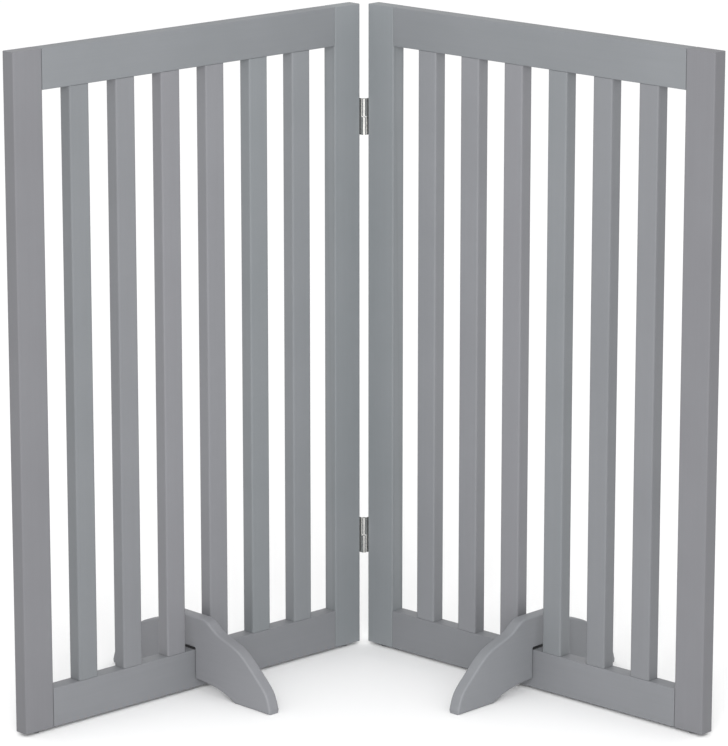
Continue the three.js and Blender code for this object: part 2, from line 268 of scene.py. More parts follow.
def note_surface(piece, place, grain_axis, seed, tone=0.5):
    """Stores what the finishes follow: the point on the board with the grain along Z, how far the
    surface is turned from the board's flat faces (for edge wear, and a painted highlight on the
    paint), how far it faces along an upright board's width (for painted shade on those sides), the
    level of painted light that makes the whole board lighter or darker, and a number that sets this
    board apart."""
    mesh = piece.data
    back = place.inverted()
    spin = back.to_3x3()
    order = {"X": (1, 2, 0), "Y": (2, 0, 1), "Z": (0, 1, 2)}[grain_axis]
    diagonal = 1 - math.sqrt(0.5)
    points, worn, sides = [], [], []
    for vertex in mesh.vertices:
        point = back @ vertex.co
        normal = spin @ vertex.normal
        points.extend(point[i] for i in order)
        # How far an edge is eased: the mask for edge wear, and for a painted highlight on the paint.
        turned = (1 - max(abs(n) for n in normal)) / diagonal
        worn.append(min(1.0, turned))
        # The mask for painted shade on the sides that face across an upright board's width.
        sides.append(abs(normal.x) if grain_axis == "Z" else 0.0)
    mesh.attributes.new("board_position", "FLOAT_VECTOR", "POINT").data.foreach_set("vector", points)
    noted_values = {"worn_edge": worn, "side_face": sides, "board_seed": [seed] * len(worn),
                    "board_tone": [tone] * len(worn)}
    for name, values in noted_values.items():
        mesh.attributes.new(name, "FLOAT", "POINT").data.foreach_set("value", values)


def give(piece, material, body, nodes):
    """Paints a finished piece, ties it to its body, and hides the nodes it stands for."""
    piece.data.materials.clear()
    piece.data.materials.append(material)
    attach(piece, body)
    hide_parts(*nodes)


def prism(outline, low, high):
    """A solid drawn by an outline in XY, between two heights."""
    shape = bmesh.new()
    corners = [shape.verts.new((x, y, low)) for x, y in outline]
    face = shape.faces.new(corners)
    top = bmesh.ops.extrude_face_region(shape, geom=[face])["geom"]
    raised = [part for part in top if isinstance(part, bmesh.types.BMVert)]
    bmesh.ops.translate(shape, verts=raised, vec=(0, 0, high - low))
    bmesh.ops.recalc_face_normals(shape, faces=shape.faces)
    return shape


def round_rims(shape, radius, steps):
    """Rounds the edges between a prism's two flat ends and its sides."""
    ends = [face for face in shape.faces if abs(face.normal.z) > 0.999]
    rims = {edge for face in ends for edge in face.edges}
    bmesh.ops.bevel(
        shape, geom=list(rims), offset=radius, segments=steps, profile=0.5, affect="EDGES",
        clamp_overlap=False,
    )


def arc(centre, radius, start, end, steps):
    """Points on an arc, with its angles in quarter turns."""
    turns = [start + (end - start) * i / steps for i in range(steps + 1)]
    angles = [turn * math.pi / 2 for turn in turns]
    return [(centre[0] + radius * math.cos(a), centre[1] + radius * math.sin(a)) for a in angles]


def rounded_rectangle(width, depth, radius, steps):
    corners = ((1, 1), (-1, 1), (-1, -1), (1, -1))
    points = []
    for quarter, (sx, sy) in enumerate(corners):
        centre = (sx * (width / 2 - radius), sy * (depth / 2 - radius))
        points += arc(centre, radius, quarter, quarter + 1, steps)
    return points


def lathe(name, profile, sides=ROUND_SIDES):
    """Turns a profile of radii and heights round Z. It starts and ends on the axis."""
    shape = bmesh.new()
    rings = []
    for radius, height in profile:
        if radius == 0:
            rings.append([shape.verts.new((0, 0, height))])
            continue
        angles = [2 * math.pi * i / sides for i in range(sides)]
        ring = [(radius * math.cos(a), radius * math.sin(a), height) for a in angles]
        rings.append([shape.verts.new(point) for point in ring])
    for lower, upper in zip(rings, rings[1:]):
        for i in range(sides):
            j = (i + 1) % sides
            loop = [lower[i % len(lower)], lower[j % len(lower)]]
            loop += [upper[j % len(upper)], upper[i % len(upper)]]
            shape.faces.new(list(dict.fromkeys(loop)))
    return from_bmesh(name, shape)


def box_shape(name, low, high):
    shape = bmesh.new()
    bmesh.ops.create_cube(shape, size=1)
    size = high - low
    bmesh.ops.scale(shape, vec=size, verts=shape.verts)
    bmesh.ops.translate(shape, vec=(high + low) / 2, verts=shape.verts)
    return from_bmesh(name, shape)


def rod(radius, start, end):
    """A plain round cutter between two points."""
    start, end = Vector(start), Vector(end)
    length = (end - start).length
    bar = lathe("rod", [(0, 0), (radius, 0), (radius, length), (0, length)], ROD_SIDES)
    turn = (end - start).to_track_quat("Z", "Y").to_matrix().to_4x4()
    bar.data.transform(Matrix.Translation(start) @ turn)
    return bar


# ---- Node trees ----


def add(tree, kind, **settings):
    node = tree.nodes.new(kind)
    for name, value in settings.items():
        setattr(node, name, value)
    return node


def put(tree, socket, value):
    """Sets a socket, or links it where the value is another node's output."""
    if isinstance(value, bpy.types.NodeSocket):
        tree.links.new(value, socket)
    else:
        socket.default_value = value


def feed(tree, node, **values):
    """Fills a node's inputs by name, with an underscore for a space."""
    for name, value in values.items():
        put(tree, node.inputs[name.replace("_", " ")], value)
    return node


def fed(tree, kind, **values):
    return feed(tree, add(tree, kind), **values)


def declare(tree, direction, sockets):
    for name, kind in sockets.items():
        tree.interface.new_socket(name, in_out=direction, socket_type="NodeSocket" + kind)


def operation_node(tree, kind, operation, values):
    node = add(tree, kind, operation=operation)
    for socket, value in zip(node.inputs, values):
        put(tree, socket, value)
    return node


def math_node(tree, operation, *values):
    return operation_node(tree, "ShaderNodeMath", operation, values).outputs[0]


def times(tree, first, second):
    return math_node(tree, "MULTIPLY", first, second)


def vector_node(tree, operation, *values):
    return operation_node(tree, "ShaderNodeVectorMath", operation, values).outputs["Vector"]


def xyz(tree, **values):
    """A vector made from its X, Y and Z."""
    return fed(tree, "ShaderNodeCombineXYZ", **values).outputs[0]


def joined(tree, kind, socket, pieces, **settings):
    """A node that takes several pieces of geometry in at one socket."""
    node = add(tree, kind, **settings)
    for piece in pieces:
        tree.links.new(piece, node.inputs[socket])
    return node.outputs[0]


def mapped(tree, value, from_low, from_high, to_low, to_high):
    """Carries one range over to another, held within its ends."""
    node = fed(tree, "ShaderNodeMapRange", Value=value, From_Min=from_low,
               From_Max=from_high, To_Min=to_low, To_Max=to_high)
    return node.outputs["Result"]


def set_inputs(modifier, **values):
    """Sets a Geometry Nodes modifier's inputs, each by its socket's identifier."""
    for item in modifier.node_group.interface.items_tree:
        name = item.name.replace(" ", "_").lower()
        if item.item_type == "SOCKET" and item.in_out == "INPUT" and name in values:
            modifier[item.identifier] = values[name]


def stored(tree, geometry, name, kind, domain, value):
    node = add(tree, "GeometryNodeStoreNamedAttribute", data_type=kind, domain=domain)
    feed(tree, node, Geometry=geometry, Name=name, Value=value)
    return node.outputs["Geometry"]


def eased_bar(tree, sizes):
    """A bar along Z about its own middle, with its long edges eased."""
    section = fed(tree, "GeometryNodeCurvePrimitiveQuadrilateral",
                  Width=sizes["Width"], Height=sizes["Thickness"])
    eased = feed(tree, add(tree, "GeometryNodeFilletCurve", mode="POLY"),
                 Curve=section.outputs[0], Count=sizes["Edge Steps"], Radius=sizes["Edge Radius"])
    end_face = feed(tree, add(tree, "GeometryNodeFillCurve", mode="NGONS"), Curve=eased.outputs[0])
    upward = xyz(tree, Z=sizes["Length"])
    bar = feed(tree, add(tree, "GeometryNodeExtrudeMesh", mode="FACES"),
               Mesh=end_face.outputs[0], Offset=upward, Individual=False)
    underside = fed(tree, "GeometryNodeFlipFaces", Mesh=end_face.outputs[0])
    both = joined(tree, "GeometryNodeJoinGeometry", 0, (bar.outputs["Mesh"], underside.outputs[0]))
    closed = fed(tree, "GeometryNodeMergeByDistance", Geometry=both, Distance=WELD)
    centred = fed(tree, "GeometryNodeSetPosition", Geometry=closed.outputs[0],
                  Offset=vector_node(tree, "MULTIPLY", upward, (0, 0, -0.5)))
    return centred.outputs[0]


def tenon_bar(tree, sizes):
    """A plain bar whose ends stand out of the slat's as its tenons."""
    shoulders = times(tree, sizes["Tenon Shoulder"], -2)
    tenons = times(tree, sizes["Tenon Length"], 2)
    size = xyz(tree, X=math_node(tree, "ADD", sizes["Width"], shoulders),
               Y=math_node(tree, "ADD", sizes["Thickness"], shoulders),
               Z=math_node(tree, "ADD", sizes["Length"], tenons))
    return fed(tree, "GeometryNodeMeshCube", Size=size).outputs["Mesh"]


def slat_surface(tree, slat):
    """Stores on a slat what note_surface stores on a board."""
    position = add(tree, "GeometryNodeInputPosition").outputs[0]
    followed = stored(tree, slat, "board_position", "FLOAT_VECTOR", "POINT", position)
    turned = vector_node(tree, "ABSOLUTE", add(tree, "GeometryNodeInputNormal").outputs[0])
    parts = add(tree, "ShaderNodeSeparateXYZ")
    tree.links.new(turned, parts.inputs[0])
    flat = math_node(tree, "MAXIMUM", parts.outputs[0], parts.outputs[1])
    flat = math_node(tree, "MAXIMUM", flat, parts.outputs[2])
    # The mask for edge wear, and for a painted highlight on the paint's eased edges.
    worn = mapped(tree, flat, 1, math.sqrt(0.5), 0, 1)
    edged = stored(tree, followed, "worn_edge", "FLOAT", "POINT", worn)
    # The mask for painted shade on the slat's sides.
    return stored(tree, edged, "side_face", "FLOAT", "POINT", parts.outputs[0])


def slat_row_tree():
    """Slats side by side along X, standing along Z, each with a tenon at both ends."""
    tree = bpy.data.node_groups.new("slat_row", "GeometryNodeTree")
    declare(tree, "INPUT", {
        "Slats": "Int", "Pitch": "Float", "Width": "Float", "Thickness": "Float", "Length": "Float",
        "Edge Radius": "Float", "Edge Steps": "Int", "Tenon Shoulder": "Float",
        "Tenon Length": "Float", "First Tone": "Float", "Last Tone": "Float", "Seed": "Int",
        "Finish": "Material",
    })
    declare(tree, "OUTPUT", {"Geometry": "Geometry"})
    sizes = add(tree, "NodeGroupInput").outputs
    bars = (eased_bar(tree, sizes), tenon_bar(tree, sizes))
    slat = joined(tree, "GeometryNodeMeshBoolean", "Mesh 2", bars, operation="UNION", solver="EXACT")
    last = math_node(tree, "SUBTRACT", sizes["Slats"], 1)
    start = times(tree, times(tree, last, sizes["Pitch"]), -0.5)
    places = fed(tree, "GeometryNodeMeshLine", Count=sizes["Slats"],
                 Start_Location=xyz(tree, X=start), Offset=xyz(tree, X=sizes["Pitch"]))
    row = fed(tree, "GeometryNodeInstanceOnPoints", Points=places.outputs[0],
              Instance=slat_surface(tree, slat))
    chance = feed(tree, add(tree, "FunctionNodeRandomValue", data_type="FLOAT"), Seed=sizes["Seed"])
    varied = stored(tree, row.outputs[0], "board_seed", "FLOAT", "INSTANCE", chance.outputs[1])
    number = add(tree, "GeometryNodeInputIndex").outputs[0]
    # Painted light: the slats beside the inner stile lighter, those beside the outer stile darker.
    tone = mapped(tree, number, 0, last, sizes["First Tone"], sizes["Last Tone"])
    toned = stored(tree, varied, "board_tone", "FLOAT", "INSTANCE", tone)
    finish_tree(tree, toned, sizes["Finish"])
    return tree


def placed_copies_tree():
    """A copy of one piece on every point, turned about an axis by a chance amount."""
    tree = bpy.data.node_groups.new("placed_copies", "GeometryNodeTree")
    declare(tree, "INPUT", {
        "Places": "Geometry", "Piece": "Object", "Turn Axis": "Vector", "Most Turn": "Float",
        "Seed": "Int", "Finish": "Material",
    })
    declare(tree, "OUTPUT", {"Geometry": "Geometry"})
    sizes = add(tree, "NodeGroupInput").outputs
    piece = feed(tree, add(tree, "GeometryNodeObjectInfo", transform_space="ORIGINAL"),
                 Object=sizes["Piece"])
    angle = feed(tree, add(tree, "FunctionNodeRandomValue", data_type="FLOAT"), Seed=sizes["Seed"])
    tree.links.new(sizes["Most Turn"], angle.inputs[3])
    turn = fed(tree, "FunctionNodeAxisAngleToRotation", Axis=sizes["Turn Axis"],
               Angle=angle.outputs[1])
    copies = fed(tree, "GeometryNodeInstanceOnPoints", Points=sizes["Places"],
                 Instance=piece.outputs["Geometry"], Rotation=turn.outputs[0])
    finish_tree(tree, copies.outputs[0], sizes["Finish"])
    return tree


def finish_tree(tree, geometry, finish):
    real = fed(tree, "GeometryNodeRealizeInstances", Geometry=geometry)
    painted = fed(tree, "GeometryNodeSetMaterial", Geometry=real.outputs[0], Material=finish)
    fed(tree, "NodeGroupOutput", Geometry=painted.outputs[0])


def grown(name, tree, points, **values):
    """A Geometry Nodes tree's result on a few points, as a plain shape."""
    mesh = bpy.data.meshes.new(name + "_points")
    mesh.from_pydata([tuple(point) for point in points], [], [])
    base = to_object(name + "_points", mesh)
    step = base.modifiers.new("nodes", "NODES")
    step.node_group = tree
    set_inputs(step, **values)
    shape = to_object(name + "_shape", baked(base))
    remove(base)
    return shape


# ---- Shared effects ----


def noted(tree, name, output="Fac"):
    """Reads back what note_surface stored."""
    return add(tree, "ShaderNodeAttribute", attribute_name=name).outputs[output]


def board_point(tree):
    """The point on the board, moved by the board's own number so that no two boards match."""
    seed = noted(tree, "board_seed")
    x, y, z = (times(tree, seed, share) for share in SEED_SHIFT)
    return vector_node(tree, "ADD", noted(tree, "board_position", "Vector"), xyz(tree, X=x, Y=y, Z=z))


def noise(tree, point, scale, detail=3.0, roughness=0.55):
    node = fed(tree, "ShaderNodeTexNoise", Vector=point, Scale=scale, Detail=detail,
               Roughness=roughness)
    return node.outputs["Fac"]


def wood_grain_group():
    """Long fibres and short open pores, both running along Z."""
    tree = bpy.data.node_groups.new("wood_grain", "ShaderNodeTree")
    declare(tree, "INPUT", {"Point": "Vector", "Fibre Width": "Float", "Fibre Length": "Float"})
    declare(tree, "OUTPUT", {"Fibres": "Float", "Pores": "Float"})
    sizes = add(tree, "NodeGroupInput").outputs
    across = math_node(tree, "DIVIDE", 1, sizes["Fibre Width"])
    along = math_node(tree, "DIVIDE", 1, sizes["Fibre Length"])
    scale = xyz(tree, X=across, Y=across, Z=along)
    stretched = vector_node(tree, "MULTIPLY", sizes["Point"], scale)
    bend = noise(tree, stretched, 0.15, 2.0)
    fibres = noise(tree, stretched, 0.5, 5.0, 0.6)
    mixed = math_node(tree, "MULTIPLY_ADD", bend, 0.4, times(tree, fibres, 0.6))
    pores = mapped(tree, noise(tree, stretched, 2.2, 2.0), 0.62, 0.74, 0, 1)
    fed(tree, "NodeGroupOutput", Fibres=mixed, Pores=pores)
    return tree


def cloud_group():
    """Slow changes of tone over a surface, from 0 to 1."""
    tree = bpy.data.node_groups.new("tone_clouds", "ShaderNodeTree")
    declare(tree, "INPUT", {"Point": "Vector", "Cloud Size": "Float"})
    declare(tree, "OUTPUT", {"Tone": "Float"})
    sizes = add(tree, "NodeGroupInput").outputs
    scale = math_node(tree, "DIVIDE", 1, sizes["Cloud Size"])
    value = noise(tree, sizes["Point"], scale, 4.0, 0.5)
    fed(tree, "NodeGroupOutput", Tone=mapped(tree, value, 0.3, 0.7, 0, 1))
    return tree


def edge_wear_group():
    """Where an edge is brighter, as rubbed wear on rubber and plastic and as a painted highlight on the paint, and
    the few spots where its coat is gone.
    """
    tree = bpy.data.node_groups.new("edge_wear", "ShaderNodeTree")
    declare(tree, "INPUT", {"Point": "Vector", "Fleck Size": "Float", "Flecks": "Float"})
    declare(tree, "OUTPUT", {"Rubbed": "Float", "Bare": "Float"})
    sizes = add(tree, "NodeGroupInput").outputs
    edge = noted(tree, "worn_edge")
    scale = math_node(tree, "DIVIDE", 1, sizes["Fleck Size"])
    broken = noise(tree, sizes["Point"], scale, 3.0)
    # On the paint this brightening is a painted highlight; on rubber and plastic it is rubbed wear.
    rubbed = times(tree, edge, mapped(tree, broken, 0.25, 0.7, 0.5, 1))
    limit = mapped(tree, sizes["Flecks"], 0, 1, 0.85, 0.5)
    spots = math_node(tree, "GREATER_THAN", broken, limit)
    bare = times(tree, spots, math_node(tree, "GREATER_THAN", edge, 0.5))
    fed(tree, "NodeGroupOutput", Rubbed=rubbed, Bare=bare)
    return tree


WOOD_GRAIN = wood_grain_group()
TONE_CLOUDS = cloud_group()
EDGE_WEAR = edge_wear_group()


def effect(tree, group, **values):
    return feed(tree, add(tree, "ShaderNodeGroup", node_tree=group), **values).outputs


def blended(tree, share, first, second):
    """Mixes two colours, each a colour or a link."""
    node = add(tree, "ShaderNodeMix", data_type="RGBA")
    for number, value in ((0, share), (6, first), (7, second)):  # the factor and colour sockets
        put(tree, node.inputs[number], value)
    return node.outputs[2]


def new_material(name):
    material = bpy.data.materials.new(name)
    material.use_nodes = True
    tree = material.node_tree
    return material, tree, tree.nodes["Principled BSDF"]


def raised(tree, height, strength, distance):
    bump = fed(tree, "ShaderNodeBump", Strength=strength, Distance=distance, Height=height)
    return bump.outputs["Normal"]


def connect(tree, shader, colour, roughness, normal):
    for name, value in (("Base Color", colour), ("Roughness", roughness), ("Normal", normal)):
        tree.links.new(value, shader.inputs[name])


def satin_paint():
    """Grey satin paint over smooth timber, cooler on some boards than on others, with painted light
    that makes the boards near the hinge lighter and those at the outer end darker, painted shade on
    the narrow sides between the slats, and a faint painted highlight along the eased edges."""
    material, tree, shader = new_material("satin_paint")
    point = board_point(tree)
    grain = effect(tree, WOOD_GRAIN, Point=point, Fibre_Width=1.6 * MM, Fibre_Length=60 * MM)
    clouds = effect(tree, TONE_CLOUDS, Point=point, Cloud_Size=120 * MM)["Tone"]
    wear = effect(tree, EDGE_WEAR, Point=point, Fleck_Size=3 * MM, Flecks=0.12)
    board = math_node(tree, "FRACT", times(tree, noted(tree, "board_seed"), HUE_SPREAD))
    colour = blended(tree, board, COOL_GREY, NEUTRAL_GREY)
    colour = blended(tree, mapped(tree, clouds, 0, 1, 0, 0.22), colour, LIGHT_GREY)
    colour = blended(tree, mapped(tree, grain["Fibres"], 0.35, 0.65, 0.1, 0), colour, DEEP_GREY)
    # Painted highlight: the eased edges a little lighter.
    colour = blended(tree, times(tree, wear["Rubbed"], 0.08), colour, LIGHT_GREY)
    colour = blended(tree, times(tree, wear["Bare"], 0.5), colour, PRIMER)
    # Painted shade: the sides that face across an upright board's width darker.
    deeper = mapped(tree, noted(tree, "side_face"), 0, 1, 1, 0.8)
    # Painted light: the whole board lighter or darker by its level.
    tone = mapped(tree, noted(tree, "board_tone"), 0, 1, 0.85, 1.15)
    toned = feed(tree, add(tree, "ShaderNodeVectorMath", operation="SCALE"), Vector=colour,
                 Scale=times(tree, tone, deeper))
    shader.inputs["Specular IOR Level"].default_value = 0.32
    gloss = mapped(tree, clouds, 0, 1, 0.6, 0.52)
    gloss = math_node(tree, "SUBTRACT", gloss, times(tree, wear["Rubbed"], 0.05))
    peel = noise(tree, point, 1 / (1.8 * MM), 2.0)
    height = math_node(tree, "MULTIPLY_ADD", grain["Fibres"], 0.7, times(tree, peel, 0.25))
    height = math_node(tree, "SUBTRACT", height, times(tree, grain["Pores"], 0.3))
    connect(tree, shader, toned.outputs["Vector"], gloss, raised(tree, height, 0.35, 0.12 * MM))
    return material


def bright_nickel():
    """Nickel plate, brushed along the leaf and duller where fingers and weather have been, with a painted dark
    reflection where its surface turns away from view.
    """
    material, tree, shader = new_material("bright_nickel")
    point = board_point(tree)
    clouds = effect(tree, TONE_CLOUDS, Point=point, Cloud_Size=6 * MM)["Tone"]
    brushed = effect(tree, WOOD_GRAIN, Point=point, Fibre_Width=0.12 * MM, Fibre_Length=12 * MM)
    wear = effect(tree, EDGE_WEAR, Point=point, Fleck_Size=0.8 * MM, Flecks=0.2)
    colour = blended(tree, clouds, NICKEL, DULL_NICKEL)
    colour = blended(tree, times(tree, wear["Bare"], 0.6), colour, BRASS_UNDER)
    # Painted reflection: the nickel darkens where its surface turns away from view, as on the barrel's flanks.
    facing = add(tree, "ShaderNodeLayerWeight").outputs["Facing"]
    colour = blended(tree, mapped(tree, facing, 0.35, 0.75, 0, 0.93), colour, SHADED_NICKEL)
    shader.inputs["Metallic"].default_value = 1
    rough = mapped(tree, brushed["Fibres"], 0.3, 0.7, 0.12, 0.26)
    rough = math_node(tree, "MULTIPLY_ADD", clouds, 0.08, rough)
    connect(tree, shader, colour, rough, raised(tree, brushed["Fibres"], 0.2, 0.02 * MM))
    return material


def black_rubber():
    """Matt black rubber with a fine moulded texture and a little dust in it."""
    material, tree, shader = new_material("black_rubber")
    point = board_point(tree)
    clouds = effect(tree, TONE_CLOUDS, Point=point, Cloud_Size=7 * MM)["Tone"]
    wear = effect(tree, EDGE_WEAR, Point=point, Fleck_Size=0.9 * MM, Flecks=0.3)
    colour = blended(tree, mapped(tree, clouds, 0, 1, 0, 0.5), RUBBER, DUSTY_RUBBER)
    colour = blended(tree, times(tree, wear["Rubbed"], 0.5), colour, DUSTY_RUBBER)
    rough = mapped(tree, clouds, 0, 1, 0.7, 0.9)
    speckle = noise(tree, point, 1 / (0.35 * MM), 2.0)
    connect(tree, shader, colour, rough, raised(tree, speckle, 0.4, 0.05 * MM))
    return material


def moulded_plastic():
    """Grey moulded plastic, scuffed on the rim that meets the floor."""
    material, tree, shader = new_material("moulded_plastic")
    point = board_point(tree)
    clouds = effect(tree, TONE_CLOUDS, Point=point, Cloud_Size=9 * MM)["Tone"]
    wear = effect(tree, EDGE_WEAR, Point=point, Fleck_Size=0.7 * MM, Flecks=0.5)
    colour = blended(tree, mapped(tree, clouds, 0, 1, 0, 0.4), PLASTIC, SCUFFED_PLASTIC)
    colour = blended(tree, times(tree, wear["Rubbed"], 0.6), colour, SCUFFED_PLASTIC)
    rough = mapped(tree, clouds, 0, 1, 0.38, 0.55)
    grainy = noise(tree, point, 1 / (0.25 * MM), 2.0)
    connect(tree, shader, colour, rough, raised(tree, grainy, 0.25, 0.03 * MM))
    return material


def bare_beech():
    """Unpainted beech, with its fine fibres and short dark pores."""
    material, tree, shader = new_material("bare_beech")
    point = board_point(tree)
    grain = effect(tree, WOOD_GRAIN, Point=point, Fibre_Width=0.5 * MM, Fibre_Length=14 * MM)
    clouds = effect(tree, TONE_CLOUDS, Point=point, Cloud_Size=15 * MM)["Tone"]
    colour = blended(tree, mapped(tree, grain["Fibres"], 0.3, 0.7, 0, 1), BEECH_DARK, BEECH)
    colour = blended(tree, times(tree, grain["Pores"], 0.6), colour, BEECH_PORE)
    rough = mapped(tree, clouds, 0, 1, 0.6, 0.75)
    connect(tree, shader, colour, rough, raised(tree, grain["Fibres"], 0.3, 0.05 * MM))
    return material


PAINT = satin_paint()
HINGE_NICKEL = bright_nickel()
STRIP_RUBBER = black_rubber()
GLIDE_PLASTIC = moulded_plastic()
DOWEL_WOOD = bare_beech()

SLAT_ROW = slat_row_tree()
PLACED_COPIES = placed_copies_tree()


# ---- Timber ----


def eased_board(name, extent, axis, edge):
    """A board that fills an extent, with its long edges eased and its ends barely rounded."""
    order = {"X": (1, 2, 0), "Z": (0, 1, 2)}[axis]
    width, depth, length = (extent.size[i] for i in order)
    outline = rounded_rectangle(width, depth, edge, EDGE_STEPS)
    shape = prism(outline, -length / 2, length / 2)
    round_rims(shape, BOARD_END_EDGE, END_EDGE_STEPS)
    board = from_bmesh(name, shape)
    turn = LIE_ALONG_X if axis == "X" else Matrix()
    board.data.transform(Matrix.Translation(extent.middle) @ turn)
    return board


def long_hole(extent, radius):
    """A round cutter along X for a piece, wider than it and longer at both ends by the fit."""
    start, end = extent.middle.copy(), extent.middle.copy()
    start.x = extent.low.x - FIT
    end.x = extent.high.x + FIT
    return rod(radius + FIT, start, end)


def dowel_holes(panel, corners):
    dowels = [Extent(panel, f"{corner}_dowel_{number}") for corner in corners for number in PAIR]
    return [long_hole(dowel, dowel.size.z / 2) for dowel in dowels]


def nail_hole(panel, end):
    glide = Extent(panel, f"{end}_glide")
    x, y, _ = glide.middle
    start, end = (x, y, glide.low.z), (x, y, glide.high.z + FIT)
    return rod(NAIL_RADIUS + FIT, start, end)


def mortises(panel, rail):
    """Box cutters for the slats' tenons, reaching from the rail's edge to past the tenon's end."""
    cutters = []
    board = Extent(panel, f"{rail}_rail")
    room = Vector((TENON_SHOULDER - FIT, TENON_SHOULDER - FIT, 0))
    for name in SLATS:
        slat = Extent(panel, name)
        low, high = slat.low + room, slat.high - room
        lower, upper = (slat, board) if rail == "bottom" else (board, slat)
        low.z = lower.low.z - FIT
        high.z = upper.high.z + FIT
        cutters.append(box_shape("mortise", low, high))
    return cutters


def finish_board(panel, node, shape, grain_axis):
    place = PANEL_FRAME[panel]
    piece = finished(f"{panel}_{node}_board", shape, place)
    # Painted light: the board's level makes its paint lighter or darker.
    note_surface(piece, place, grain_axis, BOARD_SEEDS[node], BOARD_TONES[node])
    give(piece, PAINT, f"{panel}_panel", [f"{panel}_{node}"])


def make_stile(panel, end):
    node = f"{end}_stile"
    shape = eased_board("stile", Extent(panel, node), "Z", STILE_EDGE)
    cutters = dowel_holes(panel, (f"bottom_{end}", f"top_{end}"))
    cutters.append(nail_hole(panel, end))
    if end == "inner":
        cutters += [long_hole(Extent(panel, name), SHANK_RADIUS) for name in SCREWS]
    finish_board(panel, node, combined("stile", shape, cutters, "DIFFERENCE"), "Z")


def make_rail(panel, height):
    node = f"{height}_rail"
    extent = Extent(panel, node)
    extent.size.x += 2 * (FIT - GLUE_LINE)
    shape = eased_board("rail", extent, "X", RAIL_EDGE)
    cutters = dowel_holes(panel, (f"{height}_inner", f"{height}_outer")) + mortises(panel, height)
    finish_board(panel, node, combined("rail", shape, cutters, "DIFFERENCE"), "X")


def make_slats(panel, side):
    slats = [Extent(panel, name) for name in SLATS]
    middle = (slats[0].middle + slats[-1].middle) / 2
    pitch = abs(slats[1].middle.x - slats[0].middle.x)
    # Painted light: lighter slats beside the inner stile, darker beside the outer, whichever way the panel runs.
    tones = SLAT_TONES if side > 0 else SLAT_TONES[::-1]
    shape = grown(
        "slat_row", SLAT_ROW, [(0, 0, 0)], slats=SLAT_COUNT, pitch=pitch,
        width=slats[0].size.x, thickness=slats[0].size.y,
        length=slats[0].size.z - 2 * TENON_LENGTH, edge_radius=SLAT_EDGE,
        edge_steps=EDGE_STEPS, tenon_shoulder=TENON_SHOULDER, tenon_length=TENON_LENGTH,
        first_tone=tones[0], last_tone=tones[1], seed=SLAT_SEED + side, finish=PAINT,
    )
    place = PANEL_FRAME[panel] @ Matrix.Translation(middle)
    piece = finished(f"{panel}_slat_row", shape, place)
    give(piece, PAINT, f"{panel}_panel", [f"{panel}_{name}" for name in SLATS])


def copies_of(item, panel, name, points, **values):
    """Copies of an item on some points in the panel's frame, as one piece. The item goes."""
    shape = grown(name, PLACED_COPIES, points, piece=item, **values)
    remove(item)
    return finished(f"{panel}_{name}", shape, PANEL_FRAME[panel])


def fluted_dowel(extent):
    """A dowel along X with shallow flutes for the glue and chamfered ends."""
    radius = extent.size.z / 2
    half = extent.size.x / 2
    count = STEPS_PER_FLUTE * DOWEL_FLUTES
    shape = bmesh.new()
    rings = []
    for x, shrink in ((-half, DOWEL_CHAMFER / 2), (DOWEL_CHAMFER - half, 0),
                      (half - DOWEL_CHAMFER, 0), (half, DOWEL_CHAMFER / 2)):
        ring = []
        for i in range(count):
            angle = 2 * math.pi * i / count
            flute = FLUTE_DEPTH if i % STEPS_PER_FLUTE == 2 else 0
            reach = radius - shrink - flute
            ring.append(shape.verts.new((x, reach * math.cos(angle), reach * math.sin(angle))))
        rings.append(ring)
    for first, second in zip(rings, rings[1:]):
        for i in range(count):
            j = (i + 1) % count
            shape.faces.new((first[i], second[i], second[j], first[j]))
    shape.faces.new(rings[0])
    shape.faces.new(rings[-1])
    return from_bmesh("fluted_dowel", shape)


def make_dowels(panel, side):
    extents = [Extent(panel, name) for name in DOWELS]
    piece = copies_of(
        fluted_dowel(extents[0]), panel, "dowel_set", [extent.middle for extent in extents],
        turn_axis=(1, 0, 0), most_turn=math.tau, seed=DOWEL_SEED + side, finish=DOWEL_WOOD,
    )
    note_surface(piece, PANEL_FRAME[panel], "X", PART_SEEDS["dowel"])
    give(piece, DOWEL_WOOD, f"{panel}_panel", [f"{panel}_{name}" for name in DOWELS])


# ---- Glides ----


def glide_shape(extent):
    """A round glide with a rolled rim, a slightly hollow sole and a pointed nail."""
    radius = extent.size.x / 2
    top = extent.size.z - NAIL_LENGTH
    sole = [(radius - GLIDE_SOLE + x, GLIDE_SOLE + z)
            for x, z in arc((0, 0), GLIDE_SOLE, -1, 0, GLIDE_RIM_STEPS[0])]
    shoulder = [(radius - GLIDE_SOLE / 2 + x, top - GLIDE_SOLE / 2 + z)
                for x, z in arc((0, 0), GLIDE_SOLE / 2, 0, 1, GLIDE_RIM_STEPS[1])]
    nail = [(NAIL_COLLAR, top), (NAIL_RADIUS, top - FIT)]
    nail += [(NAIL_RADIUS, extent.size.z - NAIL_POINT), (0, extent.size.z)]
    hollow = [(0, GLIDE_HOLLOW), (radius / 2, GLIDE_HOLLOW / 2)]
    return lathe("glide", [*hollow, *sole, *shoulder, *nail])


def make_glides(panel, side):
    extents = [Extent(panel, name) for name in GLIDES]
    floor_points = [(extent.middle.x, extent.middle.y, extent.low.z) for extent in extents]
    piece = copies_of(
        glide_shape(extents[0]), panel, "glide_set", floor_points,
        turn_axis=(0, 0, 1), most_turn=math.tau, seed=GLIDE_SEED + side, finish=GLIDE_PLASTIC,
    )
    note_surface(piece, PANEL_FRAME[panel], "Z", PART_SEEDS["glide"])
    give(piece, GLIDE_PLASTIC, f"{panel}_panel",
         [f"{panel}_{name}" for name in GLIDES])


# ---- Hinges ----
# A hinge leaf is drawn as the right panel's, with its knuckle above the hinge's middle. Half a turn
# about Y makes it the left panel's, with its knuckle below.


